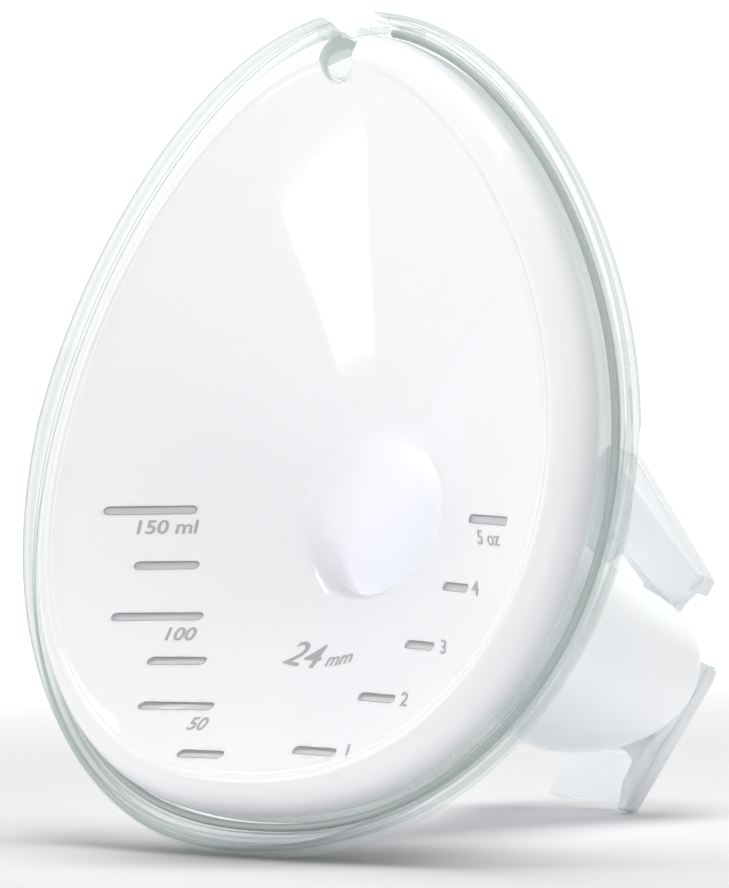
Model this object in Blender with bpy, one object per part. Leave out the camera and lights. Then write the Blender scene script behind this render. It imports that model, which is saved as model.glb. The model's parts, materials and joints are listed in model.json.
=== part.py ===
"""Breast shield assembly of a wearable breast pump: egg-shaped dish, clear rim, rear milk chamber,
clip frame, diaphragm and duckbill valve.

Lengths are in millimetres and become metres when a mesh is made. Shapes are drawn in the shield's
own axes: x to the side, y backwards (the dish faces -y), z up the shield, with the origin at the
middle of the tunnel mouth. The empty shield_axes leans those axes back, so that the assembly stands
on its rim and on the leg of the clip frame. The world origin is on the floor, under the middle of
the whole assembly.
"""

from math import atan2, cos, hypot, pi, radians, sin, tan

import bmesh
import bpy
from mathutils import Matrix, Vector

MM = 0.001
SMOOTH_ANGLE = radians(38)  # edges sharper than this stay sharp

# Dimensions that several pieces share.
DISH_DEPTH = 23.0
TUNNEL_RADIUS = 12.0
TUNNEL_WALL = 1.5
TUNNEL_OUTER = TUNNEL_RADIUS + TUNNEL_WALL
TUNNEL_DROP = tan(radians(10.0))  # fall per millimetre backwards
TUNNEL_END_Y = 36.0
SHOULDER_Y = 38.0  # step inside the chamber, behind the end of the tunnel
CHAMBER_Z = -12.3
FRAME_Y = (64.2, 66.7)
LEG_TIP_Z = -35.6
DRAIN_RADIUS = 1.7

# Stand: the two rest points (y, z), at the lowest part of the rim and at the leg.
RIM_REST = (-17.4, -58.2)
LEG_REST = (FRAME_Y[1], LEG_TIP_Z)
LEAN = atan2(LEG_REST[1] - RIM_REST[1], LEG_REST[0] - RIM_REST[0])
STAND_BACK = 17.4  # from the tunnel mouth back to the middle of the standing assembly

for old in list(bpy.data.objects):
    bpy.data.objects.remove(old, do_unlink=True)


def collection(name):
    made = bpy.data.collections.new(name)
    bpy.context.scene.collection.children.link(made)
    return made


def lean_axes():
    """The empty that carries every piece, at the height that puts both rest points on the floor."""
    axes = bpy.data.objects.new("shield_axes", None)
    parts.objects.link(axes)
    axes.rotation_euler = (-LEAN, 0.0, 0.0)
    height = LEG_REST[0] * sin(LEAN) - LEG_REST[1] * cos(LEAN)
    axes.location = (0.0, -STAND_BACK * MM, height * MM)
    return axes


parts = collection("breast_shield_assembly")
cutters = collection("cutters")
root = lean_axes()


# Materials.


def material(name, colour, roughness, transmission=0.0):
    made = bpy.data.materials.new(name)
    made.use_nodes = True
    shader = made.node_tree.nodes["Principled BSDF"]
    shader.inputs["Base Color"].default_value = (*colour, 1.0)
    shader.inputs["Roughness"].default_value = roughness
    shader.inputs["Transmission Weight"].default_value = transmission
    made.diffuse_color = (*colour, 1.0)
    return made


MILKY = material("milky_polypropylene", colour=(0.93, 0.93, 0.95), roughness=0.22)
CLEAR = material("clear_copolyester", colour=(0.80, 0.88, 0.87), roughness=0.06, transmission=0.8)
FROSTED = material("frosted_polypropylene", colour=(0.74, 0.79, 0.82), roughness=0.38)
SILICONE = material("clear_silicone", colour=(0.86, 0.88, 0.88), roughness=0.45)
SEAL = material("seal_silicone", colour=(0.42, 0.47, 0.46), roughness=0.5)


# Objects. A build function fills an empty bmesh, in millimetres in the shield's axes.


def mesh_object(name, build, origin=(0.0, 0.0, 0.0)):
    mesh = bpy.data.meshes.new(name)
    shape = bmesh.new()
    build(shape)
    bmesh.ops.recalc_face_normals(shape, faces=shape.faces)
    if shape.calc_volume(signed=True) < 0:
        bmesh.ops.reverse_faces(shape, faces=shape.faces)
    shape.transform(Matrix.Translation(-Vector(origin)))
    shape.transform(Matrix.Scale(MM, 4))
    shape.to_mesh(mesh)
    shape.free()
    obj = bpy.data.objects.new(name, mesh)
    obj.location = Vector(origin) * MM
    obj.parent = root
    return obj


def piece(name, build, paint, origin=(0.0, 0.0, 0.0), smooth=True):
    obj = mesh_object(name, build, origin)
    parts.objects.link(obj)
    obj.data.materials.append(paint)
    if smooth:
        obj.data.shade_smooth()
        obj.data.set_sharp_from_angle(angle=SMOOTH_ANGLE)
    return obj


def combine(obj, name, build, operation="DIFFERENCE"):
    """Makes a hidden helper and cuts it from obj, or joins it on with UNION."""
    helper = mesh_object(name, build)
    cutters.objects.link(helper)
    helper.hide_render = True
    helper.display_type = "WIRE"
    modifier = obj.modifiers.new(operation.lower() + "_" + name, "BOOLEAN")
    modifier.operation = operation
    modifier.object = helper
    modifier.solver = "EXACT"


# Basic shapes.


def skin(shape, rings, closed=False):
    """Faces between neighbouring rings. Closed joins the last ring to the first; else caps them."""
    rows = [[shape.verts.new(point) for point in ring] for ring in rings]
    count = len(rows[0])
    next_rows = rows[1:] + rows[:1] if closed else rows[1:]
    for row, next_row in zip(rows, next_rows):
        for i in range(count):
            j = (i + 1) % count
            shape.faces.new((row[i], row[j], next_row[j], next_row[i]))
    if not closed:
        shape.faces.new(rows[0])
        shape.faces.new(rows[-1])


def prism(outline, y_range):
    """An outline of (x, z) points, drawn out along y."""
    return lambda shape: skin(shape, [[(x, y, z) for x, z in outline] for y in y_range])


def cylinder(start, end, radius):
    def build(shape):
        start_point, end_point = Vector(start), Vector(end)
        axis = end_point - start_point
        turn = axis.to_track_quat("Z", "Y").to_matrix().to_4x4()
        bmesh.ops.create_cone(
            shape, cap_ends=True, segments=24, radius1=radius, radius2=radius, depth=axis.length
        )
        shape.transform(Matrix.Translation((start_point + end_point) / 2) @ turn)

    return build


def oval(y, centre_z, half_x, half_z, count=40):
    angles = [2 * pi * i / count for i in range(count)]
    return [Vector((half_x * cos(a), y, centre_z + half_z * sin(a))) for a in angles]


def tunnel_z(y):
    """Height of the tunnel's middle line."""
    return -TUNNEL_DROP * y


def tunnel_circle(radius, y, count=40):
    return oval(y, tunnel_z(y), radius, radius, count)


def u_outline(half_width, bottom, top, steps=12):
    points = [(half_width, top)]
    for i in range(steps + 1):
        angle = -pi * i / steps
        points.append((half_width * cos(angle), bottom + half_width + half_width * sin(angle)))
    return points + [(-half_width, top)]


# Egg rule, measured at the middle of the sealing channel, and the rings that follow it.
EGG_HALF_WIDTH = 55.7
EGG_HALF_HEIGHT = 64.1
EGG_CENTRE_Z = 10.45
EGG_TAPER = (0.231, 0.478, -0.066)  # loss of width with sin, sin squared and sin cubed
EGG_TOP_FULLNESS = 0.388
EGG_STEP = 1e-4  # angle step for the direction of the outline
CHANNEL_OUT = 6.6  # from the dish crease out to the channel middle
BOW_SPAN = 50
BOW_FORWARD, BOW_BACK = 1.9, 0.95  # rim bow at BOW_SPAN up or down, and at BOW_SPAN to the side
NARROW_TOP, NARROW_UPPER, NARROW_CORNERS = 2.4, 0.8, 1.1
SEGMENTS = 84


def egg_point(angle):
    sine, cosine = sin(angle), cos(angle)
    linear, square, cubic = EGG_TAPER
    taper = 1 - linear * sine - square * sine * sine - cubic * sine**3
    rise = sine + EGG_TOP_FULLNESS * sine * cosine * cosine
    return EGG_HALF_WIDTH * cosine * taper, EGG_CENTRE_Z + EGG_HALF_HEIGHT * rise


def narrowing(angle):
    """The outer band is narrower at the top and at the lower corners."""
    upper, lower = max(sin(angle), 0), max(-sin(angle), 0)
    return -NARROW_TOP * upper**6 - NARROW_UPPER * upper - NARROW_CORNERS * 4 * lower * (1 - lower)


def rim_point(angle, out, behind, narrow=0.0):
    """A point out from the dish crease and behind it. narrow is the share of the narrowing."""
    x, z = egg_point(angle)
    x_before, z_before = egg_point(angle - EGG_STEP)
    x_after, z_after = egg_point(angle + EGG_STEP)
    length = hypot(x_after - x_before, z_after - z_before)
    step = out - CHANNEL_OUT + narrow * narrowing(angle)
    x += step * (z_after - z_before) / length
    z += step * (x_before - x_after) / length
    bow = BOW_BACK * (x / BOW_SPAN) ** 2 - BOW_FORWARD * (z / BOW_SPAN) ** 2
    return Vector((x, behind - DISH_DEPTH + bow, z))


def egg_ring(out, behind, count=SEGMENTS):
    return [rim_point(2 * pi * i / count, out, behind) for i in range(count)]


# Breast shield: tunnel, funnel and rim channel in one wall.
WALL = 1.9
MOUTH_RADIUS, MOUTH_Y = 15.2, -1.9  # where the funnel starts, in front of the tunnel
FUNNEL_CURVE = 0.10  # share of the funnel's depth that grows with the square
FUNNEL_SHARES = (0.0, 0.16, 0.34, 0.53, 0.72, 0.88)  # ring places from mouth (0) to crease (1)

# Tunnel rings: radius, y.
TUNNEL_INSIDE = (
    (TUNNEL_RADIUS, TUNNEL_END_Y), (TUNNEL_RADIUS, 16.0), (TUNNEL_RADIUS, 3.6),
    (12.35, 1.5), (13.3, -0.3),
)
TUNNEL_OUTSIDE = (
    (14.3, 1.4), (TUNNEL_OUTER, 4.6), (TUNNEL_OUTER, 16.0), (TUNNEL_OUTER, TUNNEL_END_Y),
)
# Border of the dish, over the front and back along the rear: out from the crease, behind it.
BORDER = (
    (0.0, 0.0), (1.3, 0.2), (2.7, 0.95), (3.9, 2.2), (4.8, 3.7), (5.4, 5.3), (5.5, 7.6), (5.5, 10.2),
    (4.0, 10.2), (4.0, 6.6), (3.1, 4.5), (1.6, 2.7), (0.0, WALL),
)

CREASE = egg_ring(0.0, 0.0)
FINE_CREASE = egg_ring(0.0, 0.0, count=720)


def funnel_y(share, crease_y):
    """Front of the funnel at a share of the way from its mouth to the crease."""
    curve = (1 - FUNNEL_CURVE) * share + FUNNEL_CURVE * share * share
    return MOUTH_Y + (crease_y - MOUTH_Y) * curve


def dish_ring(share, behind=0.0):
    ring = []
    for crease in CREASE:
        around = atan2(crease.z, crease.x)
        mouth = Vector((MOUTH_RADIUS * cos(around), MOUTH_Y, MOUTH_RADIUS * sin(around)))
        point = mouth.lerp(crease, share)
        point.y = funnel_y(share, crease.y) + behind
        ring.append(point)
    return ring


def tunnel_ring(radius, y):
    """A circle whose points lie at the same angles as those of the crease."""
    centre_z = tunnel_z(max(y, 0))
    angles = [atan2(crease.z, crease.x) for crease in CREASE]
    return [Vector((radius * cos(a), y, centre_z + radius * sin(a))) for a in angles]


def shield_shape(shape):
    rings = [tunnel_ring(*row) for row in TUNNEL_INSIDE]
    rings += [dish_ring(share) for share in FUNNEL_SHARES]
    rings += [egg_ring(*row) for row in BORDER]
    rings += [dish_ring(share, WALL) for share in reversed(FUNNEL_SHARES)]
    rings += [tunnel_ring(*row) for row in TUNNEL_OUTSIDE]
    skin(shape, rings, closed=True)


# Pour slot at the top of the dish.
SLOT_HALF_WIDTH = 3.6
SLOT_BOTTOM_Z = 64.2
SLOT_CUT_TOP_Z = 90.0
SLOT_CUT_Y = (-40.0, -6.0)

# Volume marks, level when the assembly stands: middle x, height over the tunnel mouth, length.
MARKS = (
    (-35.7, 0.9, 13.0), (-31.5, -7.9, 9.1), (-30.0, -15.9, 13.1), (-23.8, -22.7, 8.9),
    (-19.4, -29.4, 12.3), (-9.2, -36.2, 8.5),
    (31.8, -0.1, 14.0), (26.5, -10.5, 8.6), (22.9, -19.3, 8.7), (19.3, -27.1, 9.7),
    (13.1, -35.0, 9.7),
)
MARK_HEIGHT = 1.3
MARK_DEPTH = 0.5
MARK_CUT_FRONT = 3.0  # how far the cutter stands out in front of the dish


def dish_y(x, z):
    """How far back the front of the dish lies at a point."""
    around = atan2(z, x)

    def turn_to(point):
        return abs(((atan2(point.z, point.x) - around + pi) % (2 * pi)) - pi)

    crease = min(FINE_CREASE, key=turn_to)
    reach = hypot(crease.x, crease.z)
    share = (hypot(x, z) - MOUTH_RADIUS) / (reach - MOUTH_RADIUS)
    return funnel_y(share, crease.y)


def level_z(x, level):
    """z on the dish of a line that is level once the shield leans."""
    z = level
    for _ in range(6):
        z = (level + dish_y(x, z) * sin(LEAN)) / cos(LEAN)
    return z


def mark_outline(middle, level, length):
    """A round-ended bar that follows the level line."""
    radius = MARK_HEIGHT / 2
    half_straight = (length - MARK_HEIGHT) / 2
    points = []
    for side, start in ((1, -pi / 2), (-1, pi / 2)):
        for i in range(5):
            angle = start + pi * i / 4
            x = middle + side * half_straight + radius * cos(angle)
            points.append((x, level_z(x, level) + radius * sin(angle)))
    return points


def marks_shape(shape):
    for mark in MARKS:
        surface = [(x, dish_y(x, z), z) for x, z in mark_outline(*mark)]
        front = [(x, y - MARK_CUT_FRONT, z) for x, y, z in surface]
        back = [(x, y + MARK_DEPTH, z) for x, y, z in surface]
        skin(shape, [front, back])


def breast_shield():
    shield = piece("breast_shield", shield_shape, MILKY)
    slot = u_outline(SLOT_HALF_WIDTH, SLOT_BOTTOM_Z, SLOT_CUT_TOP_Z)
    combine(shield, "slot_cutter", prism(slot, SLOT_CUT_Y))
    combine(shield, "mark_cutter", marks_shape)


# Clear rim with its double bead, and the soft cord in the channel.
RIM_GAP_ANGLE = radians(16.5)  # half of the gap at the top, as an angle of the egg rule
# Out from the dish crease, behind it, share of the narrowing.
RIM_PROFILE = (
    (7.6, 6.7, 0.0), (8.0, 6.25, 0.0), (8.55, 6.6, 0.0), (9.1, 6.25, 0.3), (9.6, 6.7, 0.4),
    (11.0, 6.8, 1.0), (11.4, 7.2, 1.0), (11.2, 7.9, 1.0), (10.2, 9.2, 0.8), (9.0, 10.5, 0.4),
    (5.85, 10.9, 0.0), (5.85, 9.6, 0.0), (7.6, 9.4, 0.0),
)
CORD_MIDDLE = (6.55, 8.35)  # out, behind
CORD_HALF_SIZE = (0.62, 0.72)


def cord_profile():
    (out, behind), (half_out, half_behind) = CORD_MIDDLE, CORD_HALF_SIZE
    angles = [pi * i / 4 for i in range(8)]
    return [(out + half_out * cos(a), behind + half_behind * sin(a)) for a in angles]


def egg_sweep(profile):
    """Sweeps a closed profile round the egg, leaving the gap at the top open."""
    first = pi / 2 + RIM_GAP_ANGLE
    turn = 2 * pi - 2 * RIM_GAP_ANGLE
    angles = [first + turn * i / SEGMENTS for i in range(SEGMENTS + 1)]
    return lambda shape: skin(shape, [[rim_point(a, *row) for row in profile] for a in angles])


def rim():
    piece("outer_rim", egg_sweep(RIM_PROFILE), CLEAR)
    piece("rim_seal", egg_sweep(cord_profile()), SEAL)


# Clear spout lining the pour slot.
SPOUT_CLEARANCE = 0.35
SPOUT_WALL = 0.8
SPOUT_TOP_Z = 73.6
SPOUT_Y = (-25.4, -16.5)


def pour_spout():
    outer, inner = (
        u_outline(SLOT_HALF_WIDTH - inset, SLOT_BOTTOM_Z + inset, SPOUT_TOP_Z)
        for inset in (SPOUT_CLEARANCE, SPOUT_CLEARANCE + SPOUT_WALL)
    )
    piece("pour_spout", prism(outer + inner[::-1], SPOUT_Y), CLEAR)


# Rear chamber: an oval shell that slides over the tunnel, open to the diaphragm behind and to the
# outlet below.
CHAMBER_FRONT_Y = 26.0
CHAMBER_END_Y = 63.7
CHAMBER_WALL = 1.5
CHAMBER_WINDOW = (12.4, 9.4)  # half sizes of the oval opening in the rear wall
SOCKET_RADIUS = TUNNEL_OUTER + 0.3
# Ovals: y, middle z, half width, half height.
CHAMBER_NECK = (
    (CHAMBER_FRONT_Y, tunnel_z(CHAMBER_FRONT_Y), 15.6, 15.6), (33.0, tunnel_z(33.0), 15.8, 15.7),
    (40.0, -7.8, 17.5, 15.6), (47.0, -10.0, 20.6, 15.4),
)
CHAMBER_BELLY = (
    (54.0, -11.7, 23.2, 15.2), (59.0, CHAMBER_Z, 24.0, 15.0), (61.4, CHAMBER_Z, 23.4, 14.3),
)
CHAMBER_REAR = ((62.9, CHAMBER_Z, 21.6, 13.0), (CHAMBER_END_Y, CHAMBER_Z, 19.0, 11.4))
CAVITY_REAR_HALVES = (18.4, 11.0)
CAVITY_SHIFT = 0.5  # the cavity's belly ovals lie this far in front of the outer ones
CAVITY_NECK = ((45.5, -9.5, 18.0, 13.6), (40.0, -7.6, 14.8, 13.4))
SHOULDER_RADIUS = 12.4
DRAIN_Y = 60.5
DRAIN_Z = (-31.0, -22.0)


def chamber_shape(shape):
    inner_y = CHAMBER_END_Y - CHAMBER_WALL
    rings = [oval(*row) for row in CHAMBER_NECK + CHAMBER_BELLY + CHAMBER_REAR]
    rings.append(oval(CHAMBER_END_Y, CHAMBER_Z, *CHAMBER_WINDOW))
    rings.append(oval(inner_y, CHAMBER_Z, *CHAMBER_WINDOW))
    rings.append(oval(inner_y, CHAMBER_Z, *CAVITY_REAR_HALVES))
    for y, centre_z, half_x, half_z in reversed(CHAMBER_BELLY):
        rings.append(
            oval(y - CAVITY_SHIFT, centre_z, half_x - CHAMBER_WALL, half_z - CHAMBER_WALL)
        )
    rings += [oval(*row) for row in CAVITY_NECK]
    rings.append(tunnel_circle(SHOULDER_RADIUS, SHOULDER_Y))
    rings.append(tunnel_circle(SOCKET_RADIUS, SHOULDER_Y))
    rings.append(tunnel_circle(SOCKET_RADIUS, CHAMBER_FRONT_Y))
    skin(shape, rings, closed=True)


def milk_chamber():
    chamber = piece("milk_chamber", chamber_shape, FROSTED)
    bottom, top = ((0, DRAIN_Y, z) for z in DRAIN_Z)
    combine(chamber, "drain_cutter", cylinder(bottom, top, DRAIN_RADIUS))


# Washer between the end of the tunnel and the chamber's shoulder.
WASHER_GAP = 0.35


def tunnel_seal():
    front, back = TUNNEL_END_Y + WASHER_GAP, SHOULDER_Y - WASHER_GAP
    hole = TUNNEL_RADIUS + WASHER_GAP
    corners = ((TUNNEL_OUTER, front), (TUNNEL_OUTER, back), (hole, back), (hole, front))
    rings = [tunnel_circle(radius, y, count=32) for radius, y in corners]
    piece("tunnel_seal", lambda shape: skin(shape, rings, closed=True), SEAL)


# Clip frame: a plate with a roof over the chamber, a notch at each side, and one leg on the +x side.
# Outlines are (x, z).
FRAME_SIDE = (  # the +x side, from the top down; the other side mirrors it
    (0.8, 25.6), (19.8, 3.9), (18.4, 1.2), (16.8, 2.4), (14.9, 0.7), (13.4, -1.6), (12.9, -4.0),
    (13.6, -6.8), (15.6, -9.0), (18.3, -9.8), (22.7, -11.1), (21.9, -13.6),
)
FRAME_LEG = ((10.3, LEG_TIP_Z), (8.1, LEG_TIP_Z), (8.1, -31.0), (9.6, -27.2), (7.4, -25.3))
FRAME_FOOT = ((-7.4, -25.3), (-15.9, -25.0))
FRAME_WINDOW = (13.0, 10.0)  # half sizes
FRAME_CUT_Y = (60.0, 75.0)
GAP_OUTLINE = ((-5.4, -0.2), (5.4, -0.2), (6.8, 2.9), (0.0, 9.1), (-6.8, 2.9))
BLOCK_BACK_Y = FRAME_Y[0] + 0.8  # roof walls and leg block end inside the plate
ROOF_Y = (58.1, 62.5)  # front of the roof wall at the ridge and at its lower end
ROOF_END_X = 19.6
ROOF_OUTLINE = (
    (-0.3, 25.4), (0.7, 25.4), (ROOF_END_X, 3.9), (18.6, 2.95), (13.0, 2.95), (4.8, 3.4),
    (-0.3, 7.6),
)
LEG_BLOCK_Y = 62.6
LEG_BLOCK_OUTLINE = ((8.2, -35.5), (10.2, -35.5), (14.0, -28.3), (9.3, -28.3), (8.2, -31.0))


def roof_half(side):
    """Half of the roof's wall: deepest at the ridge, shallower towards its lower end."""
    ridge_y, end_y = ROOF_Y
    slope = end_y - ridge_y
    front = [(side * x, ridge_y + slope * x / ROOF_END_X, z) for x, z in ROOF_OUTLINE]
    back = [(side * x, BLOCK_BACK_Y, z) for x, z in ROOF_OUTLINE]
    return lambda shape: skin(shape, [front, back])


def clip_frame():
    mirrored = tuple((-x, z) for x, z in reversed(FRAME_SIDE))
    outline = FRAME_SIDE + FRAME_LEG + FRAME_FOOT + mirrored
    frame = piece("clip_frame", prism(outline, FRAME_Y), FROSTED)
    window = [oval(y, CHAMBER_Z, *FRAME_WINDOW) for y in FRAME_CUT_Y]
    combine(frame, "window_cutter", lambda shape: skin(shape, window))
    combine(frame, "roof_right", roof_half(1), "UNION")
    combine(frame, "roof_left", roof_half(-1), "UNION")
    leg_block = prism(LEG_BLOCK_OUTLINE, (LEG_BLOCK_Y, BLOCK_BACK_Y))
    combine(frame, "leg_block", leg_block, "UNION")
    combine(frame, "gap_window", prism(GAP_OUTLINE, FRAME_CUT_Y))


# Diaphragm: a bead held between chamber and frame, and the moving oval middle.
# Bead rings: half width, half height, y.
BEAD_RINGS = (
    (12.6, 9.6, 64.05), (12.6, 9.6, 65.9), (12.0, 9.1, 66.4),
    (11.2, 8.4, 65.9), (11.2, 8.4, 64.6), (11.7, 8.8, 64.05),
)
MEMBRANE_HALVES = (10.8, 8.0)
MEMBRANE_Y = 64.6
MEMBRANE_ORIGIN_Y = 65.1
# Share of the half sizes, bulge backwards: out over the rear face, then in over the front face.
MEMBRANE_RINGS = (
    (0.35, 2.35), (0.7, 2.0), (0.9, 1.4), (1.0, 0.9),
    (1.0, 0.0), (0.9, 0.4), (0.7, 1.0), (0.35, 1.35),
)


def diaphragm():
    bead = [oval(y, CHAMBER_Z, half_x, half_z) for half_x, half_z, y in BEAD_RINGS]
    piece("membrane_bead", lambda shape: skin(shape, bead, closed=True), SILICONE)
    half_x, half_z = MEMBRANE_HALVES
    middle = [
        oval(MEMBRANE_Y + bulge, CHAMBER_Z, half_x * share, half_z * share)
        for share, bulge in MEMBRANE_RINGS
    ]
    origin = (0.0, MEMBRANE_ORIGIN_Y, CHAMBER_Z)
    piece("membrane", lambda shape: skin(shape, middle), SILICONE, origin)


# Milk outlet: a faceted funnel under the chamber, beside the leg, with the duckbill valve inside.
# Corner pairs of the outlet: x of each corner, then their shared y and z.
OUTLET_CORNERS = (
    (-2.8, 3.5, 59.4, -27.9), (-5.6, 7.4, 66.8, -26.2), (-5.6, 7.4, 70.3, -26.2),
    (-7.7, 7.7, 65.2, -33.4), (-7.7, 7.7, 70.3, -33.4),
)
OUTLET_CHANNEL = ((0, 60.4, -26.6), (0, 67.6, -30.2))
VALVE_Y = 67.8
# Half sizes in x and y of the boxes round the valve's middle line.
BORE_HALVES, BORE_Z = (5.4, 1.6), (-36.0, -28.0)
BODY_HALVES = (5.1, 1.35)
VALVE_SLOT_HALVES, VALVE_SLOT_Z = (3.0, 0.7), (-35.0, -25.0)
LIP_TOP_Z = -30.3
BODY_Z = (LIP_TOP_Z + 0.3, LIP_TOP_Z + 1.9)
LIP_HALF_WIDTH = 4.4
LIP_LENGTH = 2.5
LIP_HINGE = 0.5  # hinge line, off the valve's middle plane
LIP_TOP_FACES = (0.2, 0.85)  # inner and outer face, off the middle plane
LIP_TIP_FACES = (0.16, 0.5)


def valve_box(halves, z_range):
    half_x, half_y = halves
    bottom, top = z_range
    centre = Matrix.Translation((0.0, VALVE_Y, (bottom + top) / 2))
    size = Matrix.Diagonal((2 * half_x, 2 * half_y, top - bottom, 1.0))
    return lambda shape: bmesh.ops.create_cube(shape, size=1.0, matrix=centre @ size)


def outlet_shape(shape):
    for left, right, y, z in OUTLET_CORNERS:
        shape.verts.new((left, y, z))
        shape.verts.new((right, y, z))
    bmesh.ops.convex_hull(shape, input=shape.verts)


def milk_outlet():
    outlet = piece("milk_outlet", outlet_shape, FROSTED, smooth=False)
    combine(outlet, "outlet_bore", valve_box(BORE_HALVES, BORE_Z))
    combine(outlet, "outlet_channel", cylinder(*OUTLET_CHANNEL, DRAIN_RADIUS))


def valve_lip(name, side):
    """One lip of the duckbill. Its origin is on its hinge line, at its top."""

    def section(faces, z):
        inner, outer = (VALVE_Y + side * face for face in faces)
        width = LIP_HALF_WIDTH
        return [(-width, inner, z), (width, inner, z), (width, outer, z), (-width, outer, z)]

    top = section(LIP_TOP_FACES, LIP_TOP_Z)
    tip = section(LIP_TIP_FACES, LIP_TOP_Z - LIP_LENGTH)
    origin = (0.0, VALVE_Y + side * LIP_HINGE, LIP_TOP_Z)
    piece(name, lambda shape: skin(shape, [top, tip]), SILICONE, origin, smooth=False)


def duckbill_valve():
    body = piece("valve_body", valve_box(BODY_HALVES, BODY_Z), SILICONE, smooth=False)
    combine(body, "valve_slot", valve_box(VALVE_SLOT_HALVES, VALVE_SLOT_Z))
    valve_lip("valve_lip_front", -1)
    valve_lip("valve_lip_rear", 1)


breast_shield()
rim()
pour_spout()
milk_chamber()
tunnel_seal()
clip_frame()
diaphragm()
milk_outlet()
duckbill_valve()
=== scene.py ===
"""Looks for the breast shield assembly: fine meshes, clear, milky and frosted plastics, silicone, and a pale studio.

Shapes are drawn in the shield's own axes in millimetres: x to the right seen from the front, y backwards, z up the
shield, origin at the middle of the tunnel mouth. They are the same rules as the CAD. PLACE then leans and lifts
them into the standing assembly, in metres, with the floor at z = 0.
"""

import json
from math import atan2, cos, pi, radians, sin, sqrt, tan

import bmesh
import bpy
import numpy as np
from mathutils import Matrix, Vector

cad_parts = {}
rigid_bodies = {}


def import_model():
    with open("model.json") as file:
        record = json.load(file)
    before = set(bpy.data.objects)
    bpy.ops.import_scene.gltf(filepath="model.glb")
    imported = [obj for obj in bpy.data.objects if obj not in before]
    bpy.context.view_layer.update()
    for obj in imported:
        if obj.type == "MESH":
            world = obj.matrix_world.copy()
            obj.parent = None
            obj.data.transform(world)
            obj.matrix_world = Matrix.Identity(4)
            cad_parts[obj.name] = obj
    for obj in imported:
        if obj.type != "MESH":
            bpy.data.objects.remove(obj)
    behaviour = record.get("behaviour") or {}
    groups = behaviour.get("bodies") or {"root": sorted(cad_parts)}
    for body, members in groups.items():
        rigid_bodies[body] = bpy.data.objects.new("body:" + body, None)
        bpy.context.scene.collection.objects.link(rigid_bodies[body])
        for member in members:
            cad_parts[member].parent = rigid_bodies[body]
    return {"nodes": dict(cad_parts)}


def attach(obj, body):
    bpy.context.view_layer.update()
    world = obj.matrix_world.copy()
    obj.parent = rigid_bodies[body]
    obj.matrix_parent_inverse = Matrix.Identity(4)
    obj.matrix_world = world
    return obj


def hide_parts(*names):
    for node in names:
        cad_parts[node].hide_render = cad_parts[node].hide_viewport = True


for old in list(bpy.data.objects):
    bpy.data.objects.remove(old, do_unlink=True)

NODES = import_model()["nodes"]
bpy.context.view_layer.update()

MILLI = 0.001
BODY = "shield_body"

# The assembly stands on the rim and on the leg, touching at these (y, z).
RIM_REST = (-17.4, -58.2)
LEG_REST = (66.7, -35.6)
STAND_BACK = 17.4
LEAN = atan2(LEG_REST[1] - RIM_REST[1], LEG_REST[0] - RIM_REST[0])
REST = max(y * sin(LEAN) - z * cos(LEAN) for y, z in (RIM_REST, LEG_REST))
PLACE = (
    Matrix.Translation((0.0, -STAND_BACK * MILLI, REST * MILLI))
    @ Matrix.Rotation(-LEAN, 4, "X")
    @ Matrix.Scale(MILLI, 4)
)

# ---------------------------------------------------------------- outline of the dish

EGG_HALF_X = 55.7
EGG_HALF_Z = 64.1
EGG_MIDDLE_Z = 10.45
EGG_TAPER = (0.231, 0.478, -0.066)  # narrows the width, by powers of the sine
EGG_SHOULDER = 0.388
CHANNEL_OUT = 6.6  # the egg lies this far outside the crease of the dish
DISH_DEPTH = 23.0
TUNNEL_DROP = tan(radians(10.0))


def egg(angles):
    """Points x, z of the channel outline, and the outward directions."""

    def at(angle):
        sine, cosine = np.sin(angle), np.cos(angle)
        first, second, third = EGG_TAPER
        x = EGG_HALF_X * cosine * (1 - first * sine - second * sine * sine - third * sine**3)
        return x, EGG_MIDDLE_Z + EGG_HALF_Z * (sine + EGG_SHOULDER * sine * cosine * cosine)

    x, z = at(angles)
    x_before, z_before = at(angles - 1e-4)
    x_after, z_after = at(angles + 1e-4)
    length = np.hypot(x_after - x_before, z_after - z_before)
    return x, z, (z_after - z_before) / length, (x_before - x_after) / length


def bow(x, z):
    """Bend of the whole border: forward at top and bottom, back at the sides."""
    return -1.9 * (z / 50) ** 2 + 0.95 * (x / 50) ** 2


def narrowing(angles):
    """Change of the outer rim's width, most at the top and at the lower corners."""
    sine = np.sin(angles)
    up, down = np.maximum(sine, 0), np.maximum(-sine, 0)
    return -2.4 * up**6 - 0.8 * up - 1.1 * down * (1 - down) * 4


def stepped_ring(angles, step, back):
    """A ring stepped outwards from the egg, at a distance behind the crease."""
    x, z, out_x, out_z = egg(angles)
    x, z = x + step * out_x, z + step * out_z
    return np.stack([x, back - DISH_DEPTH + bow(x, z), z], 1)


def egg_ring(angles, out, back, narrow=0.0):
    """A ring at a distance outside and behind the crease."""
    return stepped_ring(angles, out - CHANNEL_OUT + narrow * narrowing(angles), back)


# ---------------------------------------------------------------- mesh tools


def catmull(before, here, after, beyond, share):
    """Catmull-Rom point between here and after."""
    return 0.5 * (
        2 * here
        + (after - before) * share
        + (2 * before - 5 * here + 4 * after - beyond) * share * share
        + (3 * here - before - 3 * after + beyond) * share**3
    )


def smooth_open(points, steps):
    """A smooth open profile, in any number of columns."""
    rows = np.array(points, float)
    rows = np.vstack([2 * rows[0] - rows[1], rows, 2 * rows[-1] - rows[-2]])
    out = [catmull(*rows[i - 1 : i + 3], j / steps) for i in range(1, len(rows) - 2) for j in range(steps)]
    out.append(rows[-2])
    return np.array(out)


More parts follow.
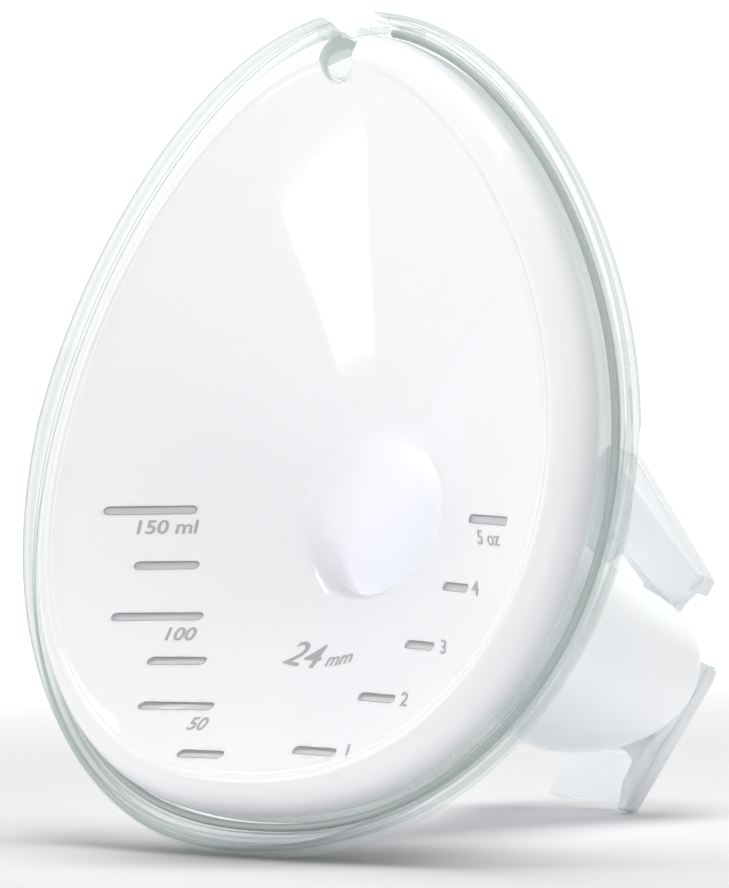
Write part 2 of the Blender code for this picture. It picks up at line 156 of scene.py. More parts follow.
def smooth_closed(points, steps=3):
    rows = np.array(points, float)
    count = len(rows)
    return np.array([
        catmull(rows[i - 1], rows[i], rows[(i + 1) % count], rows[(i + 2) % count], j / steps)
        for i in range(count)
        for j in range(steps)
    ])


def new_object(name, data):
    obj = bpy.data.objects.new(name, data)
    bpy.context.scene.collection.objects.link(obj)
    return obj


def mesh_of(name, points, faces):
    mesh = bpy.data.meshes.new(name)
    mesh.from_pydata([tuple(point) for point in points], [], faces)
    work = bmesh.new()
    work.from_mesh(mesh)
    bmesh.ops.recalc_face_normals(work, faces=work.faces)
    if work.calc_volume(signed=True) < 0:
        bmesh.ops.reverse_faces(work, faces=work.faces)
    work.to_mesh(mesh)
    work.free()
    return new_object(name, mesh)


def loft(name, rings, closed=False):
    """A mesh through equal rings of points. It is capped, or closed joins the last ring to the first."""
    count, rows = len(rings[0]), len(rings)
    faces = []
    for row in range(rows if closed else rows - 1):
        here, there = row * count, ((row + 1) % rows) * count
        for i in range(count):
            j = (i + 1) % count
            faces.append((here + i, here + j, there + j, there + i))
    if not closed:
        faces.append(tuple(range(count)))
        faces.append(tuple(range((rows - 1) * count, rows * count)))
    return mesh_of(name, np.vstack(rings), faces)


def sweep(name, columns):
    """A capped bar from its lengthwise rows of points."""
    return loft(name, list(np.stack(columns, 1)))


def prism(name, outline, front, back):
    """An (x, z) outline drawn from y = front to y = back."""
    return loft(name, [np.array([(x, y, z) for x, z in outline], float) for y in (front, back)])


def oval(y, centre, half_x, half_z, count=128, power=2.0):
    angles = np.linspace(0, 2 * pi, count, endpoint=False)
    cosine, sine = np.cos(angles), np.sin(angles)
    x = half_x * np.sign(cosine) * np.abs(cosine) ** (2 / power)
    z = half_z * np.sign(sine) * np.abs(sine) ** (2 / power)
    return np.stack([x, np.full(count, y), centre + z], 1)


def u_outline(half, bottom, top, steps=28):
    """A U open at the top, with a round bottom."""
    angles = -pi * np.arange(steps + 1) / steps
    arc = np.stack([half * np.cos(angles), bottom + half + half * np.sin(angles)], 1)
    return [(half, top)] + [tuple(point) for point in arc] + [(-half, top)]


def rounded(points, radius=0.7, steps=4):
    """Rounds the corners of a closed outline."""
    corners = [Vector(point) for point in points]
    out = []
    for i, here in enumerate(corners):
        before, after = corners[i - 1] - here, corners[(i + 1) % len(corners)] - here
        reach = min(radius, before.length * 0.42, after.length * 0.42)
        start, end = here + before.normalized() * reach, here + after.normalized() * reach
        for j in range(steps + 1):
            share = j / steps
            out.append(tuple(start * (1 - share) ** 2 + here * 2 * share * (1 - share) + end * share * share))
    return out


def set_attribute(obj, name, values):
    layer = obj.data.attributes.new(name, "FLOAT", "POINT")
    layer.data.foreach_set("value", values.astype(np.float32))


def evaluated_mesh(obj):
    graph = bpy.context.evaluated_depsgraph_get()
    return bpy.data.meshes.new_from_object(obj.evaluated_get(graph), depsgraph=graph)


def cut(obj, cutter):
    modifier = obj.modifiers.new("cut", "BOOLEAN")
    modifier.operation, modifier.object, modifier.solver = "DIFFERENCE", cutter, "EXACT"
    mesh = evaluated_mesh(obj)
    obj.modifiers.clear()
    obj.data = mesh
    bpy.data.objects.remove(cutter, do_unlink=True)


def seat(obj, material, node=None, body=BODY, angle=35.0, bevel=0.0, smooth=True, second=None):
    """Places a piece, gives it its material and puts it on its body. Faces with index 1 take the second material."""
    obj.data.transform(PLACE)
    if smooth:
        obj.data.shade_smooth()
        obj.data.set_sharp_from_angle(angle=radians(angle))
    if bevel:
        edges = obj.modifiers.new("soft_edges", "BEVEL")
        edges.width, edges.segments, edges.limit_method = bevel * MILLI, 3, "ANGLE"
        edges.angle_limit = radians(28)
        edges.harden_normals = False
    walls = [face.index for face in obj.data.polygons if face.material_index == 1]
    obj.data.materials.clear()
    obj.data.materials.append(material)
    if second:
        obj.data.materials.append(second)
        for i in walls:
            obj.data.polygons[i].material_index = 1
    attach(obj, body)
    if node:
        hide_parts(node)


# ---------------------------------------------------------------- shader tools


def feed(node, inputs):
    """Fills inputs by name or number: sockets are linked, values are set, and colours get full alpha."""
    for key, value in inputs.items():
        socket = node.inputs[key]
        if isinstance(value, bpy.types.NodeSocket):
            node.id_data.links.new(value, socket)
        else:
            socket.default_value = (*value, 1.0) if socket.type == "RGBA" else value


def add(tree, kind, output, inputs=None, **settings):
    """Adds a shader node and returns the named output."""
    node = tree.nodes.new("ShaderNode" + kind)
    for name, value in settings.items():
        setattr(node, name, value)
    feed(node, inputs or {})
    return node.outputs[output]


def new_material(name):
    material = bpy.data.materials.new(name)
    material.use_nodes = True
    tree = material.node_tree
    return material, tree, tree.nodes["Principled BSDF"], tree.nodes["Material Output"]


def noise(tree, scale, detail=3.0, roughness=0.5):
    place = add(tree, "TexCoord", "Object")
    inputs = {"Scale": scale, "Detail": detail, "Roughness": roughness, "Vector": place}
    return add(tree, "TexNoise", "Fac", inputs)


def remap(tree, value, source=(0.0, 1.0), target=(0.0, 1.0), interpolation="LINEAR"):
    inputs = {"From Min": source[0], "From Max": source[1], "To Min": target[0], "To Max": target[1], "Value": value}
    return add(tree, "MapRange", "Result", inputs, interpolation_type=interpolation)


def wander(tree, value, middle, spread):
    """A value that strays from its middle by a share of it."""
    return remap(tree, value, target=(middle * (1 - spread), middle * (1 + spread)))


def bump(tree, shader, height, strength, distance):
    inputs = {"Strength": strength, "Distance": distance, "Height": height}
    feed(shader, {"Normal": add(tree, "Bump", "Normal", inputs)})


def mix_colour(tree, share, first, second):
    return add(tree, "Mix", "Result", {"A": first, "B": second, "Factor": share}, data_type="RGBA")


def mix_shader(tree, share, first, second):
    return add(tree, "MixShader", "Shader", {"Fac": share, 1: first, 2: second})


def calculate(tree, operation, *values):
    return add(tree, "Math", "Value", dict(enumerate(values)), operation=operation)


def facing_power(tree, power):
    """Rises from faces seen square-on to faces seen edge-on."""
    return calculate(tree, "POWER", add(tree, "LayerWeight", "Facing", {"Blend": 0.5}), power)


def attribute(tree, name):
    return add(tree, "Attribute", "Fac", attribute_name=name)


def transparent(tree, colour):
    return add(tree, "BsdfTransparent", "BSDF", {"Color": colour})


# ---------------------------------------------------------------- materials


def plastic(name, first, second, roughness, subsurface=0.0, radius=0.002, ior=1.49, coat=0.0, grain=900.0,
            grain_depth=0.00001, variation=60.0, painted_glow=0.0):
    """A moulded plastic: slow colour variation, fine mould grain in the bump, and roughness that wanders a little.
    Its emission adds a painted glow of light.
    """
    material, tree, shader, _ = new_material(name)
    slow = noise(tree, scale=variation, detail=1.0)
    fine = noise(tree, scale=grain, detail=4.0, roughness=0.6)
    feed(shader, {
        "Base Color": mix_colour(tree, remap(tree, slow), first, second),
        "Roughness": wander(tree, slow, roughness, spread=0.1),
        "IOR": ior,
        "Subsurface Weight": subsurface,
        "Subsurface Radius": (1.0, 1.0, 1.0),
        "Subsurface Scale": radius,
        "Coat Weight": coat,
        "Coat Roughness": 0.06,
        "Emission Color": (0.95, 0.975, 1.0),
        "Emission Strength": painted_glow,
    })
    bump(tree, shader, fine, strength=0.25, distance=grain_depth)
    return material


def thin_clear(name):
    """Clear plastic for thin walls: light passes straight through, walls seen edge-on turn it darker, painted shade
    lines from a mesh attribute darken it too, and faces mirror a little."""
    material, tree, shader, out = new_material(name)
    fine = noise(tree, scale=500.0, detail=3.0, roughness=0.6)
    slow = noise(tree, scale=35.0, detail=1.0)
    facing = facing_power(tree, power=3.2)
    tone = mix_colour(tree, facing, (0.975, 0.985, 0.983), (0.63, 0.68, 0.675))
    through = transparent(tree, mix_colour(tree, attribute(tree, "painted_shade_line"), tone, (0.52, 0.575, 0.57)))
    feed(shader, {
        "Roughness": wander(tree, slow, 0.06, spread=0.2),
        "Base Color": (0.90, 0.945, 0.94),
        "IOR": 1.5,
    })
    bump(tree, shader, fine, strength=0.15, distance=0.000004)
    milk, shine = 0.12, 0.35  # share of solid surface on all faces, and its growth towards edge-on
    solid = calculate(tree, "MULTIPLY_ADD", facing, shine, milk)
    feed(out, {"Surface": mix_shader(tree, solid, through, shader.outputs["BSDF"])})
    return material


def shield_material():
    """Milky dish. Its attributes turn it clear, darken it with painted grey shade, or give it a painted glow of light
    through its emission.
    """
    material, tree, shader, out = new_material("milky_plastic")
    slow = noise(tree, scale=30.0, detail=1.0)
    fine = noise(tree, scale=1100.0, detail=4.0, roughness=0.6)
    tone = mix_colour(tree, remap(tree, slow), (0.93, 0.932, 0.955), (0.905, 0.91, 0.935))
    feed(shader, {
        "Base Color": mix_colour(tree, attribute(tree, "painted_shade"), tone, (0.50, 0.515, 0.52)),
        "Roughness": remap(tree, slow, target=(0.045, 0.065)),
        "IOR": 1.5,
        "Subsurface Weight": 0.2,
        "Subsurface Radius": (1.0, 1.0, 1.0),
        "Subsurface Scale": 0.001,
        "Emission Color": (0.97, 0.975, 1.0),
        "Emission Strength": attribute(tree, "painted_glow"),
    })
    bump(tree, shader, fine, strength=0.2, distance=0.000003)
    facing = facing_power(tree, power=2.0)
    through = transparent(tree, mix_colour(tree, facing, (0.945, 0.96, 0.958), (0.55, 0.60, 0.595)))
    look = {"Base Color": (0.88, 0.93, 0.925), "Roughness": 0.08}
    mirror = add(tree, "BsdfPrincipled", "BSDF", look)
    clear = mix_shader(tree, 0.25, through, mirror)
    surface = mix_shader(tree, attribute(tree, "clearness"), shader.outputs["BSDF"], clear)
    feed(out, {"Surface": surface})
    return material


FROST = dict(roughness=0.30, subsurface=0.35, radius=0.004, coat=0.3)
CLEAR = thin_clear("clear_plastic")
# The chamber, foot and frame take lit copies of one frosted plastic: lighter colours and painted glows of light,
# strongest on the foot and weakest on the frame.
FROSTED_CHAMBER_PAINTED_LIGHT = plastic(
    "frosted_chamber_painted_light", (0.92, 0.94, 0.952), (0.90, 0.925, 0.94), grain_depth=0.000004, painted_glow=0.15, **FROST
)
FROSTED_FOOT_PAINTED_LIGHT = plastic(
    "frosted_foot_painted_light", (0.93, 0.945, 0.955), (0.91, 0.93, 0.945), grain_depth=0.000004, painted_glow=0.28, **FROST
)
FROSTED = plastic(
    "frosted_plastic", (0.88, 0.912, 0.925), (0.855, 0.89, 0.905),
    grain=1400.0, grain_depth=0.000006, variation=25.0, painted_glow=0.05, **FROST,
)
# The silicone carries a faint painted glow of light.
SILICONE = plastic(
    "clear_silicone", (0.88, 0.91, 0.92), (0.85, 0.885, 0.895), roughness=0.42, subsurface=0.3, ior=1.41, painted_glow=0.03
)
SEAL = plastic(
    "seal_silicone", (0.60, 0.65, 0.64), (0.56, 0.61, 0.60), roughness=0.40, subsurface=0.2, ior=1.41
)
# The floors of the pressed marks are painted grey: painted shade in the recesses.
MARK_PAINTED_SHADE = plastic("pressed_scale_painted_shade", (0.76, 0.765, 0.78), (0.72, 0.725, 0.74), roughness=0.35)
# The slot's cut walls carry a painted glow of light.
EDGE = plastic("cut_edge", (0.74, 0.78, 0.775), (0.69, 0.73, 0.725), roughness=0.12, coat=0.3, painted_glow=0.10)
NUMBER = plastic("pressed_number", (0.50, 0.505, 0.52), (0.46, 0.465, 0.48), roughness=0.35)
# Dark painted shadow for the edges of the pressed marks.
PAINTED_MARK_SHADOW = plastic("pressed_edge_painted_shadow", (0.30, 0.305, 0.315), (0.27, 0.275, 0.285), roughness=0.4)
MILKY = shield_material()

# ---------------------------------------------------------------- dish, border and tunnel

ROUND = 432
WALL = 1.9
MOUTH_RADIUS, MOUTH_Y = 15.2, -1.9
TUNNEL_RADIUS, TUNNEL_OUTER, TUNNEL_END = 12.0, 13.5, 36.0
ANGLES = np.linspace(0, 2 * pi, ROUND, endpoint=False)
CREASE = egg_ring(ANGLES, 0.0, 0.0)
AROUND = np.arctan2(CREASE[:, 2], CREASE[:, 0])

# Radius, y: from the tunnel's bore forward to the mouth.
THROAT = [(TUNNEL_RADIUS, 5.6), (12.08, 3.4), (12.45, 1.4), (13.3, -0.35), (14.2, -1.25)]
# Distance outside and behind the crease: a fine step, then the front of the rolled border.
BORDER_FRONT = [
    (-0.80, 0.34), (-0.38, 0.36), (-0.08, 0.06), (0.5, -0.10), (1.3, 0.12), (2.7, 0.90), (3.9, 2.15),
    (4.75, 3.65), (5.3, 5.3), (5.5, 7.6), (5.5, 10.1),
]
# The same columns, back from the end of the border to the crease.
BORDER_BACK = [(4.1, 10.2), (4.0, 8.0), (3.9, 6.4), (3.1, 4.5), (1.6, 2.7), (0.0, 2.1)]
# Radius, y: outside of the tunnel.
TUNNEL_BACK = ((14.3, 1.4), (13.7, 3.0), (TUNNEL_OUTER, 4.8), (TUNNEL_OUTER, 16.0), (TUNNEL_OUTER, TUNNEL_END))
# Painted glow of light: an emission that lifts the whole dish evenly.
DISH_PAINTED_GLOW = 0.088


def dish_fall(share):
    """Share of the dish's depth reached at a share of the way from mouth to crease."""
    return 0.90 * share + 0.10 * share * share


def dish_ring(share, extra=0.0):
    x, z = MOUTH_RADIUS * np.cos(AROUND), MOUTH_RADIUS * np.sin(AROUND)
    mouth = np.stack([x, np.full(ROUND, MOUTH_Y), z], 1)
    ring = mouth + (CREASE - mouth) * share
    ring[:, 1] = mouth[:, 1] + (CREASE[:, 1] - mouth[:, 1]) * dish_fall(share) + extra
    return ring


def tunnel_ring(radius, y):
    drop = -TUNNEL_DROP * max(y, 0)
    return np.stack([radius * np.cos(AROUND), np.full(ROUND, y), drop + radius * np.sin(AROUND)], 1)


def shield_piece():
    """One closed skin: tunnel bore, dish, border, and back along the rear, with its material attributes."""
    rings = []
    layers = {"clearness": [], "painted_shade": [], "painted_glow": []}
    low = np.clip(-np.sin(AROUND), 0, 1)

    def ring_of(ring, clearness=0.0, painted_shade=0.0, painted_glow=DISH_PAINTED_GLOW):
        rings.append(ring)
        for values, value in zip(layers.values(), (clearness, painted_shade, painted_glow)):
            values.append(np.zeros(ROUND) + value)

    # The tunnel's bore gets a painted glow of light, a little dimmer at its bottom.
    for y in (TUNNEL_END, 28.0, 20.0, 14.0, 9.0):
        ring_of(tunnel_ring(TUNNEL_RADIUS, y), painted_glow=0.21 - 0.04 * low)
    # The throat gets a painted glow of light that grows with depth, and its floor gets painted shade, dimmer and
    # greyer.
    for radius, y in smooth_open(THROAT, 5):
        deep = float(np.clip((y + 1.25) / 6.0, 0, 1)) ** 0.7
        painted_glow = DISH_PAINTED_GLOW + deep * (0.10 - 0.27 * low)
        painted_shade = 0.45 * low**3 * min(1.0, 3.0 * deep) * (1.25 - deep)
        ring_of(tunnel_ring(radius, y), painted_glow=painted_glow, painted_shade=painted_shade)
    for share in np.linspace(0.0, 0.965, 26):
        ring_of(dish_ring(share))
    # Painted shade: a thin grey line on the step at the crease, strongest on the right, and a grey outer edge. The
    # border also gets a painted glow of light, a little stronger at its bottom.
    right = np.clip(np.cos(AROUND - 0.25), 0, 1)
    for out, back in smooth_open(BORDER_FRONT, 5):
        painted_shade_line = (0.12 + 0.30 * right) * float(np.exp(-(((out + 0.22) / 0.16) ** 2))) if back < 1 else 0.0
        edge = float(np.clip((out - 3.6) / 1.8, 0, 1)) ** 1.8 * 0.45 if back < 6 else 0.45
        clearness = float(np.clip((back - 5.2) / 1.0, 0, 1))
        ring_of(egg_ring(ANGLES, out, back), clearness, np.maximum(painted_shade_line, edge), 0.09 + 0.04 * low)
    for out, back in smooth_open(BORDER_BACK, 4):
        ring_of(egg_ring(ANGLES, out, back), float(np.clip((back - 5.8) / 1.0, 0, 1)))
    for share in np.linspace(0.97, 0.0, 14):
        ring_of(dish_ring(share, WALL))
    for radius, y in TUNNEL_BACK:
        ring_of(tunnel_ring(radius, y))
    obj = loft("shield_dish", rings, closed=True)
    for name, values in layers.items():
        set_attribute(obj, name, np.concatenate(values))
    return obj


def dish_y(x, z):
    """Depth of the dish's front at x, z."""
    gap = np.abs((AROUND - atan2(z, x) + pi) % (2 * pi) - pi)
    i = int(np.argmin(gap))
    reach = sqrt(CREASE[i, 0] ** 2 + CREASE[i, 2] ** 2)
    share = (sqrt(x * x + z * z) - MOUTH_RADIUS) / (reach - MOUTH_RADIUS)
    return MOUTH_Y + (CREASE[i, 1] - MOUTH_Y) * dish_fall(share)


def level_z(x, level):
    """The z on the dish that lies at a true height once the shield leans."""
    z = level
    for _ in range(6):
        z = (level + dish_y(x, z) * sin(LEAN)) / cos(LEAN)
    return z


# Pressed marks: middle x, level, length.
MARKS = (
    (-35.7, 0.9, 13.0), (-31.5, -7.9, 9.1), (-30.0, -15.9, 13.1), (-23.8, -22.7, 8.9), (-19.4, -29.4, 12.3),
    (-9.2, -36.2, 8.5),
    (31.8, -0.1, 14.0), (26.5, -10.5, 8.6), (22.9, -19.3, 8.7), (19.3, -27.1, 9.7), (13.1, -35.0, 9.7),
)
MARK_HALF = 0.68
MARK_CUT = (-2.5, 0.5)  # the cutter's ends in front of and behind the dish's face
BED_DEPTH = 0.40
BED_INSET = 0.03
LINE_SIDES = 6


def mark_outline(middle, level, length, grow=0.0, steps=10):
    """A level bar with round ends."""
    half, radius = (length - 2 * MARK_HALF) / 2, MARK_HALF + grow
    outline = []
    for side, start in ((1, -pi / 2), (-1, pi / 2)):
        for i in range(steps + 1):
            angle = start + pi * i / steps
            x = middle + side * half + radius * cos(angle)
            outline.append((x, level_z(x, level) + radius * sin(angle)))
        # Points along the top edge after the right end, along the bottom edge after the left.
        for share in (0.25, 0.5, 0.75):
            x = middle + side * (half - 2 * half * share)
            outline.append((x, level_z(x, level) + side * radius))
    return outline


def mark_cutters():
    """One cutter for all the marks."""
    parts = []
    for mark in MARKS:
        outline = mark_outline(*mark)
        parts.append(loft("cut", [np.array([(x, dish_y(x, z) + end, z) for x, z in outline]) for end in MARK_CUT]))
    work = bmesh.new()
    for part in parts:
        work.from_mesh(part.data)
    work.to_mesh(parts[0].data)
    work.free()
    for part in parts[1:]:
        bpy.data.objects.remove(part, do_unlink=True)
    return parts[0]


def mark_beds():
    """Floors of the pressed marks, which take a painted grey shade."""
    points, faces = [], []
    for mark in MARKS:
        outline = mark_outline(*mark, -BED_INSET)
        start = len(points)
        points += [(x, dish_y(x, z) + BED_DEPTH, z) for x, z in outline]
        faces.append(tuple(range(start, start + len(outline))))
    return mesh_of("scale_marks", points, faces)


def mark_edges():
    """Painted shadow: thin dark lines where the walls of the marks meet the dish, thickest at the upper left, where
    the recess is in shade.
    """
    points, faces = [], []
    for middle, level, length in MARKS:
        outline = mark_outline(middle, level, length, -BED_INSET, 8)
        count, start = len(outline), len(points)
        for i, (x, z) in enumerate(outline):
            above = np.clip((z - level_z(x, level)) / MARK_HALF, -1, 1)
            left = np.clip((middle - x) / (length / 2), -1, 1)
            thick = 0.05 + 0.10 * float(np.clip(0.35 + 0.65 * above + 0.25 * left, 0, 1))
            run = (Vector(outline[(i + 1) % count]) - Vector(outline[i - 1])).normalized()
            for k in range(LINE_SIDES):
                angle = 2 * pi * k / LINE_SIDES
                line_x, line_z = x + run.y * thick * cos(angle), z - run.x * thick * cos(angle)
                points.append((line_x, dish_y(line_x, line_z) + 0.02 + 0.05 * sin(angle), line_z))
        for i in range(count):
            here, there = start + LINE_SIDES * i, start + LINE_SIDES * ((i + 1) % count)
            for k in range(LINE_SIDES):
                m = (k + 1) % LINE_SIDES
                faces.append((here + k, there + k, there + m, here + m))
    return mesh_of("scale_mark_painted_shadows", points, faces)


# Text, middle x, level, size, width share, slant, arc radius or 0 for level text.
TEXTS = (
    ("150 ml", -33.0, -1.9, 3.3, 1.0, 0.0, 0), ("100", -25.6, -18.7, 3.3, 1.0, -0.05, 0),
    ("50", -13.7, -32.0, 3.3, 1.0, -0.05, 0),
    ("5 oz", 33.2, -2.9, 3.3, 1.45, -0.75, 0), ("4", 33.6, -10.4, 3.3, 1.55, -0.75, 0),
    ("3", 30.6, -19.25, 3.3, 1.5, -0.7, 0), ("2", 27.0, -27.0, 3.3, 1.4, -0.6, 0),
    ("1", 20.7, -34.7, 3.3, 1.4, -0.55, 0),
    ("24", -2.9, -22.0, 6.2, 1.22, 0.0, 27.0), ("mm", 4.9, -22.4, 3.6, 0.98, 0.0, 27.0),
)


def text_holder(body, size):
    curve = bpy.data.curves.new("text", "FONT")
    curve.body, curve.size, curve.align_x, curve.align_y = body, size, "CENTER", "CENTER"
    curve.extrude = 0.10
    curve.offset = 0.02
    curve.resolution_u = 5
    return new_object("text", curve)


def numerals():
    """Plain numbers and units, bent onto the dish."""
    work = bmesh.new()
    for body, middle, level, size, wide, slant, arc in TEXTS:
        holder = text_holder(body, size)
        mesh = evaluated_mesh(holder)
        part = bmesh.new()
        part.from_mesh(mesh)
        bmesh.ops.triangulate(part, faces=part.faces)
        long_edges = [edge for edge in part.edges if edge.calc_length() > 0.8]
        bmesh.ops.subdivide_edges(part, edges=long_edges, cuts=2)
        for vertex in part.verts:
            across, up, height = vertex.co
            shift = wide * across + slant * up
            if arc:
                turn = (middle + shift) / arc
                radius = -level_z(0.0, level) - up
                x, z = radius * sin(turn), -radius * cos(turn)
            else:
                x = middle + shift
                z = level_z(x, level) + up
            vertex.co = Vector((x, dish_y(x, z) - 0.02 - height, z))
        part.to_mesh(mesh)
        part.free()
        work.from_mesh(mesh)
        bpy.data.objects.remove(holder, do_unlink=True)
    mesh = bpy.data.meshes.new("scale_numbers")
    bmesh.ops.recalc_face_normals(work, faces=work.faces)
    work.to_mesh(mesh)
    work.free()
    return new_object("scale_numbers", mesh)


# Slot through the top of the border, with a round bottom.
SLOT_HALF, SLOT_BOTTOM = 3.3, 64.35


def is_slot_wall(face):
    x, y, z = face.center
    beside = abs(abs(x) - SLOT_HALF) < 0.02
    below = abs(sqrt(x * x + (z - SLOT_BOTTOM - SLOT_HALF) ** 2) - SLOT_HALF) < 0.03
    return y < -15 and z > 64.2 and abs(face.normal.y) < 0.35 and (beside or below)


shield = shield_piece()
cut(shield, prism("slot_cut", u_outline(SLOT_HALF, SLOT_BOTTOM, 95.0), -40.0, -6.0))
for face in shield.data.polygons:
    if is_slot_wall(face):
        face.material_index = 1
cut(shield, mark_cutters())
seat(shield, MILKY, "breast_shield", angle=32, second=EDGE)
seat(mark_beds(), MARK_PAINTED_SHADE)
seat(mark_edges(), PAINTED_MARK_SHADOW, angle=80)
seat(numerals(), NUMBER, smooth=False)

# ---------------------------------------------------------------- clear rim, cord and spout

TOP = pi / 2
GAP_LEFT = radians(16.5)
GAP_RIGHT = radians(12.5)
OPEN = np.linspace(TOP + GAP_LEFT, TOP + 2 * pi - GAP_RIGHT, 420)

# Rim section: distance outside and behind the crease, share of the narrowing.
RIM = [
    (7.6, 6.95, 0.0), (7.75, 6.45, 0.0), (8.1, 6.2, 0.0), (8.45, 6.4, 0.05), (8.62, 6.62, 0.1),
    (8.85, 6.35, 0.15), (9.15, 6.2, 0.2), (9.45, 6.4, 0.3), (9.75, 6.85, 0.4), (10.3, 6.95, 0.7),
    (10.72, 6.6, 0.9), (10.92, 5.8, 1.0), (11.0, 4.9, 1.0), (11.18, 4.5, 1.0), (11.38, 4.75, 1.0),
    (11.44, 5.8, 1.0), (11.44, 7.0, 1.0), (11.3, 7.9, 1.0), (10.9, 8.5, 0.95), (10.2, 9.3, 0.8),
    (9.6, 10.1, 0.6), (9.1, 10.55, 0.4), (8.0, 10.75, 0.2), (6.9, 10.85, 0.0), (5.95, 10.8, 0.0),
    (5.8, 10.3, 0.0), (5.95, 9.75, 0.0), (6.9, 9.6, 0.0), (7.45, 9.4, 0.0), (7.62, 8.9, 0.0), (7.6, 7.8, 0.0),
]
# Painted shade lines along the rim: distance outside and behind the crease, strength, width.
RIM_PAINTED_SHADE_LINES = (
    (8.62, 6.6, 0.75, 0.22), (11.2, 4.6, 0.7, 0.26), (7.6, 7.8, 0.55, 0.8), (9.9, 6.85, 0.45, 0.22),
    (10.85, 6.1, 0.3, 0.5),
)
# Where the rim draws in round its lower part: middle and spread in degrees, amount.
CORNERS = ((218, 24, 0.95), (320, 27, 1.15), (275, 22, 0.35))
# Flange outside the rim: distance past its root, distance behind the crease.
SKIRT = (
    (0.0, 8.75), (0.8, 8.55), (1.5, 8.35), (2.15, 8.2), (2.32, 8.28), (2.35, 8.45), (2.2, 8.58), (1.5, 8.75),
    (0.8, 8.95), (0.0, 9.2),
)
SKIRT_ROOT, SKIRT_REACH = 9.1, 2.35
# Same columns as the rim.
BRIDGE = ((8.2, 9.9, 0.4), (9.6, 9.7, 0.6), (9.9, 10.0, 0.6), (9.6, 10.35, 0.6), (8.2, 10.5, 0.4))
BRIDGE_LAP = 0.10  # radians past each side of the left gap's width
# Distance outside and behind the crease.
CATCH = ((8.3, 5.2), (9.2, 4.7), (10.0, 4.8), (10.3, 5.5), (10.1, 7.2), (9.2, 7.4), (8.3, 7.0))
CORD_OUT, CORD_BACK, CORD_HALF_OUT, CORD_HALF_BACK = 6.55, 8.35, 0.64, 0.74
SPOUT_HALF, SPOUT_BOTTOM, SPOUT_TOP, SPOUT_WALL = 3.2, 64.5, 73.4, 0.6


def corner(angles):
    """Share of the lower corners, where the ring draws in and leaves a thin flange outside it."""
    turn = np.degrees(np.arctan2(np.sin(angles), np.cos(angles))) % 360
    return sum(np.exp(-(((turn - middle) / spread) ** 2)) * amount for middle, spread, amount in CORNERS)


def lift(angles):
    """The rim rises forward a little next to its gap."""
    away = np.abs((angles - TOP + pi) % (2 * pi) - pi)
    return -1.8 * np.clip(1 - (away - GAP_RIGHT) / radians(24), 0, 1) ** 2


def open_sweep(name, profile):
    """Sweeps a closed section with the rim's columns round the egg, with the gap left open at the top."""
    section = np.array(profile, float)
    _, _, out_x, out_z = egg(OPEN)
    columns = []
    for out, back, share in section:
        ring = egg_ring(OPEN, out, back, share)
        if out > 8.3:
            inward = 2.1 * corner(OPEN) * min(1.0, (out - 8.3) / 2.6) * share
            ring[:, 0] -= inward * out_x
            ring[:, 2] -= inward * out_z
        ring[:, 1] += share * lift(OPEN)
        columns.append(ring)
    obj = sweep(name, columns)
    lines = np.zeros(len(section))
    for out, back, strength, width in RIM_PAINTED_SHADE_LINES:
        distance = (section[:, 0] - out) ** 2 + (section[:, 1] - back) ** 2
        lines = np.maximum(lines, strength * np.exp(-distance / width**2))
    # The painted shade lines are darker on the left side than on the right.
    first = columns[0]
    side = 0.62 - 0.38 * np.cos(np.arctan2(first[:, 2], first[:, 0]))
    set_attribute(obj, "painted_shade_line", np.outer(side, lines).ravel())
    return obj


def cord_piece():
    """A thin cord of oval section inside the rim."""
    turns = [2 * pi * i / 16 for i in range(16)]
    section = [(CORD_OUT + CORD_HALF_OUT * cos(a), CORD_BACK + CORD_HALF_BACK * sin(a), 0.0) for a in turns]
    return open_sweep("sealing_cord", section)


def skirt_piece():
    """A thin clear flange that shows outside the rim at its lower corners."""
    angles = np.linspace(radians(176), radians(364), 300)
    fade = np.clip(np.minimum(angles - angles[0], angles[-1] - angles) / radians(16), 0, 1)
    fade = fade * fade * (3 - 2 * fade)
    columns = []
    for out, back in SKIRT:
        narrow = narrowing(angles) * (0.75 + 0.25 * out / SKIRT_REACH)
        columns.append(stepped_ring(angles, SKIRT_ROOT - CHANNEL_OUT + narrow + out * fade, back))
    return sweep("rim_skirt", columns)


def bridge_piece():
    """Thin rear flange that carries the rim across the gap."""
    angles = np.linspace(TOP - GAP_LEFT - BRIDGE_LAP, TOP + GAP_LEFT + BRIDGE_LAP, 60)
    return sweep("rim_bridge", [egg_ring(angles, *row) for row in BRIDGE])


def catch_piece(side):
    """A small catch at one end of the rim, where the gap begins."""
    name, gap = ("right", GAP_RIGHT) if side > 0 else ("left", GAP_LEFT)
    angles = TOP - side * (gap + np.linspace(-0.035, 0.05, 14))
    columns = []
    for out, back in CATCH:
        ring = egg_ring(angles, out, back, 1.0)
        ring[:, 1] += lift(angles)
        columns.append(ring)
    return sweep("rim_catch_" + name, columns)


def spout_piece():
    """A thin U-shaped channel in the slot of the dish."""
    outer = u_outline(SPOUT_HALF, SPOUT_BOTTOM, SPOUT_TOP)
    inner = u_outline(SPOUT_HALF - SPOUT_WALL, SPOUT_BOTTOM + SPOUT_WALL, SPOUT_TOP)
    return prism("pour_channel", outer + inner[::-1], -25.3, -16.6)


seat(open_sweep("clear_rim", smooth_closed(RIM)), CLEAR, "outer_rim", angle=50)
seat(skirt_piece(), CLEAR, angle=60)
seat(cord_piece(), SEAL, "rim_seal", angle=60)
seat(bridge_piece(), CLEAR, angle=60)
for side in (1, -1):
    seat(catch_piece(side), CLEAR, bevel=0.25, angle=40)
seat(spout_piece(), CLEAR, "pour_spout", bevel=0.18, angle=40)

# ---------------------------------------------------------------- frosted chamber, frame and outlet

CHAMBER_Z = -12.3
FRAME_FRONT, FRAME_BACK = 64.2, 66.7


